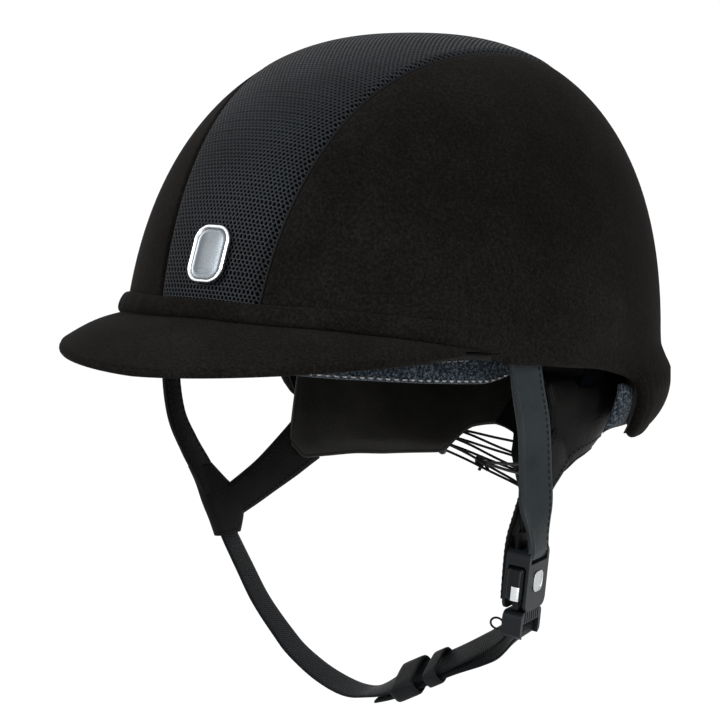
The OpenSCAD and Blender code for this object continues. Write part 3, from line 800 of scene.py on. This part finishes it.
def puff(made):
    """Swells a closed pad by cloth simulation, then keeps the result."""
    bpy.context.view_layer.objects.active = made
    made.select_set(True)
    start = [v.co.copy() for v in made.data.vertices]
    cloth = made.modifiers.new("cloth", "CLOTH")
    cloth.settings.use_pressure = True
    cloth.settings.uniform_pressure_force = PAD_PRESSURE
    cloth.settings.effector_weights.gravity = 0
    cloth.settings.quality = 4
    for step in range(1, CLOTH_STEPS + 1):
        bpy.context.scene.frame_set(step)
    shape = made.evaluated_get(bpy.context.evaluated_depsgraph_get())
    moved = [v.co.copy() for v in shape.data.vertices]
    made.modifiers.remove(cloth)
    for v, a, b in zip(made.data.vertices, start, moved):
        step = b - a
        if step.length > PAD_SWELL * MM:
            step *= PAD_SWELL * MM / step.length
        v.co = a + step
    bpy.context.scene.frame_set(1)
    return made


def pillow(name, face, thick):
    """Closed pad over a grid of points: full in the middle and pinched at its edges."""
    rows, cols = len(face), len(face[0])
    top, bottom = [], []
    for r in range(rows):
        a, b = [], []
        for c in range(cols):
            p = face[r][c]
            du = face[r][min(c + 1, cols - 1)] - face[r][max(c - 1, 0)]
            dv = face[min(r + 1, rows - 1)][c] - face[max(r - 1, 0)][c]
            n = du.cross(dv).normalized()
            if n.dot(p - CENTRE) > 0:
                n = -n
            down, along = min(r, rows - 1 - r) / (rows / 2), min(c, cols - 1 - c) / (cols / 2)
            full = (clamp01(down * 2.2) * clamp01(along * 2.2)) ** 0.45
            a.append(p + n * (thick / 2 + thick / 2 * full))
            b.append(p + n * (thick / 2 - thick / 2 * full))
        top.append(a)
        bottom.append(b)
    bm = bmesh.new()
    add_grid(bm, top)
    add_grid(bm, bottom, flip=True)
    bmesh.ops.remove_doubles(bm, verts=bm.verts, dist=0.05)
    turn_out(bm)
    return new_object(name, bm, "fleece")


def crown_pads():
    for k, x in enumerate((-22, 0, 22)):
        face = [[crown(x + j + 0.0005, t, PAD_OUT - 1.0) for j in range(-8, 9)] for t in steps(-42, 38, 60)]
        made = puff(pillow(f"crown_pad_{k}", face, CROWN_PAD_T))
        finish(made, "pad_fabric", *(["crown_pad"] if k == 1 else []))


def rear_pad(side):
    # the left pad pokes out in front of its lobe, the right one sits back inside it
    first = 103.5 if side > 0 else 113
    face = [[dome(plan_angle(turn, side), lift_of(mix(rim_z(max(turn, 114)) + 0.8, 5, v)), SHELL_IN - 1.0)
             for turn in steps(first, 172, 60)] for v in steps(0, 1, 12)]
    name = "rear_pad_" + hand(side)
    made = puff(pillow(name + "_fleece", face, REAR_PAD_T))
    finish(made, "pad_fabric", name)


def liner():
    """Moulded foam bowl inside the shell, with shallow channels for air."""
    bm = bmesh.new()
    foot_z = 12.0
    turns = [k * 3.0 for k in range(120)]
    faces = []
    for outside in (True, False):
        rows = []
        for r in range(41):
            line = []
            for turn in turns:
                foot = max(rim_z(min(turn, 360 - turn)) + 6, foot_z)
                lift = mix(lift_of(foot), 88, r / 40)
                thin = mix(0.5, 1, clamp01((height_of(lift) - foot) / 16))
                groove = 2.5 * max(0, cosd(turn * 6)) ** 8 * smooth((height_of(lift) - 60) / 20)
                off = LINER_OUT if outside else LINER_OUT - LINER_T * thin + groove
                line.append(dome(turn - 90, lift, off))
            rows.append(line)
        faces.append(add_grid(bm, rows, closed=True, flip=outside))
    for verts in faces:
        bm.faces.new(verts[-1])
    for i in range(len(turns)):
        j = (i + 1) % len(turns)
        bm.faces.new([faces[0][0][i], faces[0][0][j], faces[1][0][j], faces[1][0][i]])
    turn_out(bm)
    finish(new_object("foam_bowl", bm, "foam"), "foam_liner", "foam_liner")


# ---------- straps ----------

STRAP_T, WEB_W, WEB_T, HANGER_W, HANGER_T = 2.2, 15.0, 1.4, 12.0, 1.8
STITCH_AT, FINE_STITCH = 0.38, {"length": 2.0, "gap": 1.0, "radius": 0.26}


def strap_grid(path, across, width, thick, crowned):
    """Rings of a flat strap with rounded edges and a slightly full middle."""
    rings, outs = [], []
    for p, h, aside, wide in zip(path, headings(path), across, width):
        t = h.cross(aside.normalized()).normalized()
        w = t.cross(h).normalized()
        ring = []
        for c, s in around(28):
            x = spow(c, 0.28) * wide / 2
            ring.append(p + w * x + t * spow(s, 0.55) * (thick / 2 + crowned * (1 - (2 * x / wide) ** 2)))
        rings.append(ring)
        outs.append(t)
    return rings, outs


def strap_object(name, path, across, width, thick, mat, yarn=None, crowned=0.35, both=True):
    """Flat strap, stitched along both edges if there is yarn, on one face or on both."""
    across, width = [v if isinstance(v, list) else [v] * len(path) for v in (across, width)]
    bm = bmesh.new()
    rings, outs = strap_grid(path, across, width, thick, crowned)
    close_ends(bm, add_grid(bm, rings, closed=True))
    if yarn:
        rise = thick / 2 + crowned * (1 - (2 * STITCH_AT) ** 2)
        for edge in (-1, 1):
            for face in ((-1, 1) if both else (1,)):
                line = [p + t.cross(h).normalized() * edge * STITCH_AT * wide + t * face * rise
                        for p, h, t, wide in zip(path, headings(path), outs, width)]
                add_stitches(bm, line, [t * face for t in outs], 1, **FINE_STITCH)
    return new_object(name, bm, mat, *([yarn] if yarn else []))


LEFT_FRONT = [(96.4, -31, 23), (95.5, -27, 8), (94, -21, -8), (92, -17, -24), (90.6, -14.5, -40),
              (90.9, -13.6, -50), (91.4, -13.6, -57), (91.7, -13.9, -62.5), (90.4, -14.2, -66)]
RIGHT_FRONT = [(-93.9, -40, 23), (-95.5, -42, 4), (-93.6, -41, -17), (-92, -34.5, -32), (-90.8, -27, -44),
               (-90, -22, -52)]
LEFT_REAR = [(87.6, -10, -42), (87.6, -4, -33), (86, 6, -25), (81.5, 20, -17)]
RIGHT_REAR = [(-88.8, -9, -62), (-86.5, 8, -54), (-83.6, 23, -45), (-81.4, 37, -36)]
# width directions at the top and bottom of the left front strap, and the heights between which they turn
LEFT_TURN = ((0.26, 0.966, 0), (-0.2233, 0.974, 0.027), -38, -62)


def blend_across(path, first, last, start, end):
    """Width directions that turn from first to last as z falls from start to end."""
    return [Vector(first).lerp(Vector(last), smooth((start - p.z) / (start - end))) for p in path]


def leather_strap(name, route, across, widths, mat, yarn, **style):
    path = spline(route, 14)
    last = len(path) - 1
    wide = [soft_lookup(100 * i / last, widths, 6) for i in range(last + 1)]
    if not isinstance(across, Vector):
        across = blend_across(path, *across)
    finish(strap_object(name + "_leather", path, across, wide, STRAP_T, mat, yarn, **style), "leather", name)


def edge_roll(name, path, across, wide):
    """Turned and sewn front edge of a strap, a little proud of it."""
    heading = headings(path)
    line = []
    for i, p in enumerate(path):
        w = across[i].normalized()
        out = heading[i].cross(w).normalized()
        if out.x * p.x < 0:
            out = -out
        line.append(p - w * (wide[i] / 2 - 1.5) + out * 0.75)
    bm = bmesh.new()
    add_tube(bm, line, 1.7, 12, flat=0.6)
    finish(new_object(name, bm, "leather"), "leather")


def harness_straps():
    # the far straps take the darker leather copy as painted shade
    far_painted_shade, yarn = "nape_leather", "dark_thread"
    leather_strap("front_strap_left", LEFT_FRONT, LEFT_TURN,
                  [(0, 16), (46, 17), (53, 19.4), (58, 18), (70, 17.4), (84, 18.6), (100, 19.5)], "leather", yarn,
                  both=False)
    path = spline(LEFT_FRONT, 14)[:-6]
    edge_roll("front_strap_left_edge", path, blend_across(path, *LEFT_TURN),
              [mix(16, 18.8, i / len(path)) for i in range(len(path))])
    leather_strap("front_strap_right", RIGHT_FRONT, vec(-0.26, 0.966, 0),
                  [(0, 14.5), (50, 15.5), (80, 17), (100, 17)], far_painted_shade, yarn)
    leather_strap("rear_strap_left", LEFT_REAR, vec(0.05, -0.5, 0.85), [(0, 15), (40, 18), (100, 23)], far_painted_shade, yarn)
    leather_strap("rear_strap_right", RIGHT_REAR, vec(-0.05, -0.6, 0.8), [(0, 17), (40, 19.5), (100, 27)],
                  far_painted_shade, yarn, crowned=1.0)
    for side in (1, -1):
        name = "rear_hanger_" + hand(side)
        route = spline([(side * 95, 24, 17), (side * 90, 27, 8), (side * 82.5, 30, 0)], 10)
        made = strap_object(name + "_tape", route, vec(side * 0.15, 1, 0), HANGER_W, HANGER_T, "mesh_base")
        finish(made, "webbing", name)


def leather_sleeve(name, sections, across):
    """Sewn sleeve over straps: each section is (x, y, z, width, thickness)."""
    centres = spline([s[:3] for s in sections], 8)
    sizes = spline([(s[3], s[4], 0) for s in sections], 8)
    w = Vector(across).normalized()
    t = vec(w.y, -w.x, 0)
    bm = bmesh.new()
    rings = [[p + w * spow(c, 0.45) * size.x / 2 + t * spow(s, 0.7) * size.y / 2 for c, s in around(32)]
             for p, size in zip(centres, sizes)]
    close_ends(bm, add_grid(bm, rings, closed=True))
    for face in (1, -1):
        for k in (2, len(rings) - 3):
            size = sizes[k]
            line = [centres[k] + w * x * size.x / 2 + t * face * (size.y / 2 + 0.05) for x in steps(-0.72, 0.72, 20)]
            add_stitches(bm, line, [t * face] * 21, 1, **FINE_STITCH)
    # the sleeves take the darker leather copy as painted shade
    finish(new_object(name + "_leather", bm, "nape_leather", "dark_thread"), "nape_leather", name)


LEFT_SLEEVE = [(88.4, -12.5, -41, 17, 3.4), (88.3, -12.7, -45, 17.5, 4), (88.2, -12.5, -50, 17, 4),
               (87.9, -12.2, -55, 16, 3.4)]
RIGHT_SLEEVE = [(-91, -28, -42.5, 16, 3.4), (-90.4, -21.5, -50.5, 20.5, 4.4), (-89, -15, -60, 28, 5.4),
                (-87.8, -13.6, -68, 24, 5.4), (-86.9, -13.8, -76, 17.6, 4.6)]


def from_cad(node, name, look, slot, round_off, body="helmet"):
    """A new piece on a CAD node's own shape, with its edges rounded."""
    bm = bmesh.new()
    bm.from_mesh(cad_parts[node].data)
    bmesh.ops.remove_doubles(bm, verts=bm.verts, dist=0.00001)
    bmesh.ops.dissolve_limit(bm, angle_limit=math.radians(1), verts=bm.verts, edges=bm.edges)
    data = bpy.data.meshes.new(name)
    bm.to_mesh(data)
    bm.free()
    made = add_object(name, data)
    data.materials.clear()
    data.materials.append(MATS[look])
    for polygon in data.polygons:
        polygon.use_smooth = True
    bevel = made.modifiers.new("rounding", "BEVEL")
    bevel.width = round_off * MM
    bevel.segments = 3
    bevel.limit_method = "ANGLE"
    bevel.angle_limit = math.radians(32)
    made.modifiers.new("shading", "WEIGHTED_NORMAL").keep_sharp = True
    finish(made, slot, node, body=body)


# ---------- nape panels and lacing ----------

NAPE_W, NAPE_CENTRE, NAPE_BACK, NAPE_REACH = 84.0, 10.0, 58.0, 97.0
NAPE_TOP, NAPE_DEEP = 7, 1.4
# lower edge of each panel: turn round the neck from the side, and height
LEFT_NAPE = [(-3, -36), (4, -33), (12, -29), (24, -27), (36, -27), (47, -28), (58, -31), (66, -40),
             (72, -56), (79, -58), (82, -30), (89.9, -26)]
RIGHT_NAPE = [(12.5, -37), (19, -44.5), (32, -44), (44, -43), (55, -43), (65, -42), (74, -41), (80, -40),
              (83, -29), (89.9, -26)]


def nape_point(side, turn, z, inset=0.0):
    f = clamp01((z + 38) / 34) ** 1.3
    swell = 3 + (10 if side > 0 else 0) * sind(2 * turn) ** 2
    # the top edge leans in, clear of the cover
    inset += 2.4 * clamp01((z + 3) / 9)
    return vec(side * (NAPE_W + swell * f - inset) * max(cosd(turn), 0) ** 0.8,
                   NAPE_CENTRE + (mix(NAPE_BACK, NAPE_REACH, f) - inset) * spow(sind(turn), 0.9), z)


def nape_panel(side, low_edge, look):
    """Padded leather panel with a piped edge and a row of stitches inside it."""
    first, last = low_edge[0][0], low_edge[-1][0]
    cols, lines = 90, 30
    outer, inner = [], []
    for k in range(lines + 1):
        a, b = [], []
        for i in range(cols + 1):
            turn = mix(first, last, i / cols)
            low = soft_lookup(turn, low_edge, 2.2)
            z = mix(low, NAPE_TOP, k / lines)
            edge = min(k / lines, 1 - k / lines) * (NAPE_TOP - low), min(i / cols, 1 - i / cols) * 100
            thick = 1.2 + 2.2 * clamp01(min(edge) / 5.0) ** 0.5
            a.append(nape_point(side, turn, z, NAPE_DEEP - thick / 2))
            b.append(nape_point(side, turn, z, NAPE_DEEP + thick / 2))
        outer.append(a)
        inner.append(b)
    bm = bmesh.new()
    top = add_grid(bm, outer)
    bottom = add_grid(bm, inner, flip=True)
    loop = ([(0, i) for i in range(cols + 1)] + [(k, cols) for k in range(1, lines + 1)]
            + [(lines, i) for i in range(cols - 1, -1, -1)] + [(k, 0) for k in range(lines - 1, 0, -1)])
    for (r0, c0), (r1, c1) in zip(loop, loop[1:] + loop[:1]):
        bm.faces.new([top[r0][c0], top[r1][c1], bottom[r1][c1], bottom[r0][c0]])
    turn_out(bm)
    border = [(outer[r][c] + inner[r][c]) / 2 for r, c in loop if r < lines]
    add_tube(bm, border, 1.0, 8, 2)
    line = outer[4]
    out = [vec(p.x, p.y - NAPE_CENTRE, 0).normalized() for p in line]
    add_stitches(bm, line, out, 1, length=2.4, gap=1.2, radius=0.3)
    name = "nape_panel_" + hand(side)
    made = finish(new_object(name + "_leather", bm, look, "dark_thread", look), "nape_leather", name)


LACE_R, CORD_R, EYELET_R, EYELET_WIRE = 0.62, 0.75, 1.9, 0.75
KNOT_AT, CORD_ENDS = vec(-12, 80, -46), (vec(86, 4, -26), vec(86, 3, -33))


def lacing():
    """Eyelets, the laces that cross between them, the two long cords and the knot."""
    left = [nape_point(1, 76.5, -34 - 7 * k) for k in range(4)]
    right = [nape_point(-1, 77.5, -30.5 - 3.2 * k) for k in range(4)]
    bm = bmesh.new()
    for p in left + right:
        ring = [p + vec(EYELET_R * c, 0.6, EYELET_R * s) for c, s in around(28, True)]
        add_tube(bm, ring, EYELET_WIRE, 10, ends=False, up=vec(0, 1, 0))
    finish(new_object("nape_eyelet_rings", bm, "eyelet_enamel"), "eyelet", "nape_eyelets")
    bm = bmesh.new()

    def lace(a, b, back, sag):
        points = []
        for k in range(13):
            t = k / 12
            bow = back * math.sin(math.pi * min(t * 3, 1, (1 - t) * 3) / 2) + 1.0
            points.append(a.lerp(b, t) + vec(0, bow, -sag * math.sin(math.pi * t)))
        add_tube(bm, points, LACE_R, 8)

    for k in range(4):
        lace(right[k], left[k], 2.4, 0.6)
    for k in range(3):
        lace(right[k], left[k + 1], 4.2, 1.0)
    for target in CORD_ENDS:
        add_tube(bm, spline([KNOT_AT, KNOT_AT.lerp(target, 0.5) + vec(0, 0, -2), target], 8), CORD_R, 8)
    finish(new_object("nape_lace_cord", bm, "lace"), "lace", "nape_lace")
    bm = bmesh.new()
    for tilt in (-35, 35):
        spin = Matrix.Rotation(math.radians(tilt), 3, "Y") @ Matrix.Rotation(math.radians(90), 3, "X")
        ring = [KNOT_AT + spin @ vec(2.2 * c, 1.6 * s, 0) for c, s in around(24, True)]
        add_tube(bm, ring, 0.95, 8)
    for end in (vec(-3, 3, -5), vec(3, 2, -4.5)):
        add_tube(bm, spline([KNOT_AT, KNOT_AT + end * 0.5 + vec(0, 1.5, 0), KNOT_AT + end], 6), 0.8, 8)
    finish(new_object("lace_knot_cord", bm, "lace"), "lace", "lace_knot")


# ---------- buckle and chin strap ----------

BUCKLE_AT = vec(86, -15, -74.5)
BUCKLE_LEAN, BUCKLE_TURN = 7, 13
BAR_AT = BUCKLE_AT - 23.6 * vec(sind(BUCKLE_LEAN), 0, cosd(BUCKLE_LEAN))
FLAP = [(87.4, -13.5, -34), (84, -15.6, -47), (79.6, -15.4, -61), (77, -15, -84)]
# the webbing's two strands: from the right sleeve to the frame's bar, and back under the chin
UPPER = [(-87.1, -14, -72), (-85.6, -14, -76.4), (-76, -14.5, -90), (-65, -15.5, -104), (-51, -16.5, -117),
         (-40, -17.5, -125), (-23, -18.5, -133), (-5, -19.5, -137), (10, -20, -134.3), (31, -20, -124.2),
         (52, -19.5, -114.1), (68, -17.5, -105.2), (75, -16.3, -100.5), (81.9, -15, -95.4)]
LOWER = [(84.3, -15, -100.4), (76, -16.3, -106.2), (68, -17.5, -110.4), (53.1, -19.5, -116.6),
         (32.1, -20, -126.6), (11.1, -20, -136.7)]
CHIN_SLOPE = math.atan2(20.2, 42)
BAR_WRAP_R = 2.75


def web_roll(x):
    """How far the webbing leans at x, so that its top face turns to the front under the chin."""
    return 0.17 * math.exp(-((x + 8) / 34) ** 2) + 0.62 * smooth((x - 2) / 24) * smooth((86 - x) / 14)


def chin_webbing():
    turn = [BAR_AT + BAR_WRAP_R * vec(cosd(a), 0, sind(a)) for a in range(105, -56, -10)]
    path = spline(UPPER, 14) + turn + spline(LOWER, 12)
    across = []
    for p in path:
        share = p.x / BAR_AT.x
        across.append(vec(-0.25 * abs(share), 0.966, 0.027 * max(share, 0) + web_roll(p.x)))
    made = strap_object("chin_webbing_strap", path, across, WEB_W, WEB_T, "webbing", crowned=0.1)
    finish(made, "webbing", "chin_webbing", body="chin_strap")


def web_clip(node, x, length, wide, high, wall, body, slot):
    """Rounded loop around both strands of webbing, rolled with them."""
    centre = vec(x, -20, -135.5 + (x - 10) * math.tan(CHIN_SLOPE))
    ahead = vec(math.cos(CHIN_SLOPE), 0, math.sin(CHIN_SLOPE))
    side = vec(-0.1, 0.966, web_roll(x))
    side = (side - ahead * side.dot(ahead)).normalized()
    up = ahead.cross(side)
    bm = bmesh.new()
    profile = [(-0.5, -wall), (-0.5, -0.5), (-0.44, -0.1), (-0.3, 0), (0.3, 0), (0.44, -0.1), (0.5, -0.5),
               (0.5, -wall)]
    rings = [[centre + ahead * along * length + side * spow(c, 0.35) * (wide / 2 + inset)
              + up * spow(s, 0.45) * (high / 2 + inset) for c, s in around(48)] for along, inset in profile]
    add_grid(bm, rings + [rings[0]], closed=True)
    bmesh.ops.remove_doubles(bm, verts=bm.verts, dist=0.01)
    turn_out(bm)
    finish(new_object(node + "_body", bm, "keeper_rubber"), slot, node, body=body)


def buckle_axes():
    """Buckle's own thickness, width and height directions."""
    lean, turn = BUCKLE_LEAN, BUCKLE_TURN
    up = vec(sind(lean), 0, cosd(lean))
    thick = vec(cosd(turn) * cosd(lean), sind(turn), -cosd(turn) * sind(lean))
    return thick, up.cross(thick), up


def soft_block(bm, centre, half, round_off, steps=6):
    """Rounded box in the buckle's directions: centre and half sizes along its three axes."""
    thick, wide, up = buckle_axes()
    part = bmesh.ops.create_cube(bm, size=2)["verts"]
    for v in part:
        v.co = vec(v.co.x * half[0], v.co.y * half[1], v.co.z * half[2])
    edges = list({e for v in part for e in v.link_edges})
    made = bmesh.ops.bevel(bm, geom=edges, offset=round_off, segments=steps, profile=0.6, affect="EDGES")
    block = {v for f in made["faces"] for v in f.verts} | {v for v in part if v.is_valid}
    for v in block:
        c = Vector(centre) + v.co
        v.co = BUCKLE_AT + thick * c.x + wide * c.y + up * c.z


def buckle():
    """Housing, frame, latch arms, emblem and flap, and the clips on the webbing."""
    from_cad("buckle_housing", "buckle_housing_body", "buckle_nylon", "buckle_nylon", 0.7)
    from_cad("buckle_frame", "buckle_frame_body", "buckle_nylon", "buckle_nylon", 0.45, body="chin_strap")
    bm = bmesh.new()
    thick, wide, up = buckle_axes()
    ring = [BUCKLE_AT - wide * 9.6 + thick * (3.0 * c - 6.9) + up * (2.4 * s - 20.5) for c, s in around(24, True)]
    add_tube(bm, ring, 0.5, 8, ends=False, up=wide)
    finish(new_object("frame_tab_loop", bm, "lining"), "webbing", body="chin_strap")
    for side, end in ((-1, "front"), (1, "rear")):
        bm = bmesh.new()
        soft_block(bm, (0, side * 7.2, -6.6), (1.5, 1.2, 6.8), 0.4, 3)
        soft_block(bm, (0, side * 9.9, -1.6), (3.7, 2.5, 7.2), 1.9)
        count = len(bm.faces)
        soft_block(bm, (0.9, side * 12.1, -5.4), (1.9, 0.7, 3.2), 0.5, 3)
        bm.faces.ensure_lookup_table()
        for face in bm.faces[count:]:
            face.material_index = 1
        made = new_object(f"latch_arm_{end}_body", bm, "arm_nylon", "badge_metal")
        finish(made, "buckle_nylon", "latch_arm_" + end, body=f"{end}_arm")
    from_cad("buckle_emblem", "buckle_emblem_plate", "emblem_metal", "emblem_metal", 0.12)
    web_clip("strap_slider", 28, 14, 20.6, 8.6, 0.8, "slider", "buckle_nylon")
    web_clip("strap_keeper", 43, 8, 19.4, 7.8, 0.7, "keeper", "lining")
    from_cad("buckle_loop", "buckle_loop_tape", "nape_leather", "webbing", 0.3)
    flap = strap_object("buckle_flap_leather", spline(FLAP, 10), vec(-0.2, 0.975, 0), WEB_W, 1.8,
                        "nape_leather", "dark_thread")
    finish(flap, "leather", "buckle_flap")


# ---------- build ----------

suede()
mesh_knit()
mesh_base()
# leather: the strap leather as it looks in the light on the near side, lighter and bluer; the darker copy below is
# the own colour of the flap, buckle loop and left nape panel, and painted shade on the far straps and sleeves
leather("leather", (0.004, 0.006, 0.0068), (0.0095, 0.0135, 0.015), (0.36, 0.55), 0.13)
leather("nape_leather", (0.0018, 0.0018, 0.0017), (0.0044, 0.0044, 0.0042), (0.4, 0.6), 0.04)
# a lighter copy of the nape leather, painted light on the right nape panel, which sits in shade inside the helmet
leather("panel_leather_painted_light", (0.006, 0.0058, 0.005), (0.0125, 0.012, 0.0105), (0.45, 0.65), 0.08)
leather("keeper_rubber", (0.0018, 0.002, 0.0024), (0.0036, 0.004, 0.0048), (0.4, 0.6), 0.06)
fleece()
foam()
webbing()
# shade of each thread or cloth woven from it
THREADS = {"thread": 0.05, "pale_thread": 0.22, "dark_thread": 0.0045, "binding": 0.002, "lining": 0.003,
           "lace": 0.004}
for name, shade in THREADS.items():
    thread(name, shade)
nylon("buckle_nylon", (0.0042, 0.0054, 0.0068), (0.3, 0.44), 0.12)
nylon("arm_nylon", (0.0022, 0.0028, 0.0036), (0.22, 0.34), 0.13)
nylon("shell_plastic", (0.005, 0.005, 0.0055), (0.5, 0.7), 0.08)
nylon("peak_core", (0.005, 0.005, 0.005), (0.6, 0.8), 0.08)
metal("badge_metal", (0.62, 0.64, 0.66), 0.24, 0.00002)
metal("badge_field", (0.075, 0.083, 0.09), 0.3, 0.00003)
metal("emblem_metal", (0.5, 0.52, 0.53), 0.28, 0.00002)
metal("rivet_metal", (0.35, 0.35, 0.36), 0.35, 0.00001)
metal("eyelet_enamel", (0.05, 0.05, 0.055), 0.3, 0.00001)

CAD_LOOKS = {"outer_shell": "shell_plastic", "peak_board": "peak_core", "strap_anchors": "rivet_metal",
             "badge_posts": "rivet_metal"}
for node, look in CAD_LOOKS.items():
    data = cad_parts[node].data
    data.materials.clear()
    data.materials.append(MATS[look])
make_camera()
make_studio()
for side in (1, -1):
    cover(side)
    seam(side)
    rear_pad(side)
mesh_panel()
brow_band()
rim_binding()
peak()
badge()
liner()
headband()
crown_pads()
harness_straps()
leather_sleeve("junction_left", LEFT_SLEEVE, (0.1, 0.995, 0))
leather_sleeve("junction_right", RIGHT_SLEEVE, (-0.08, 1, 0))
nape_panel(1, LEFT_NAPE, "nape_leather")
# the right panel takes the lighter copy as painted light
nape_panel(-1, RIGHT_NAPE, "panel_leather_painted_light")
lacing()
chin_webbing()
buckle()
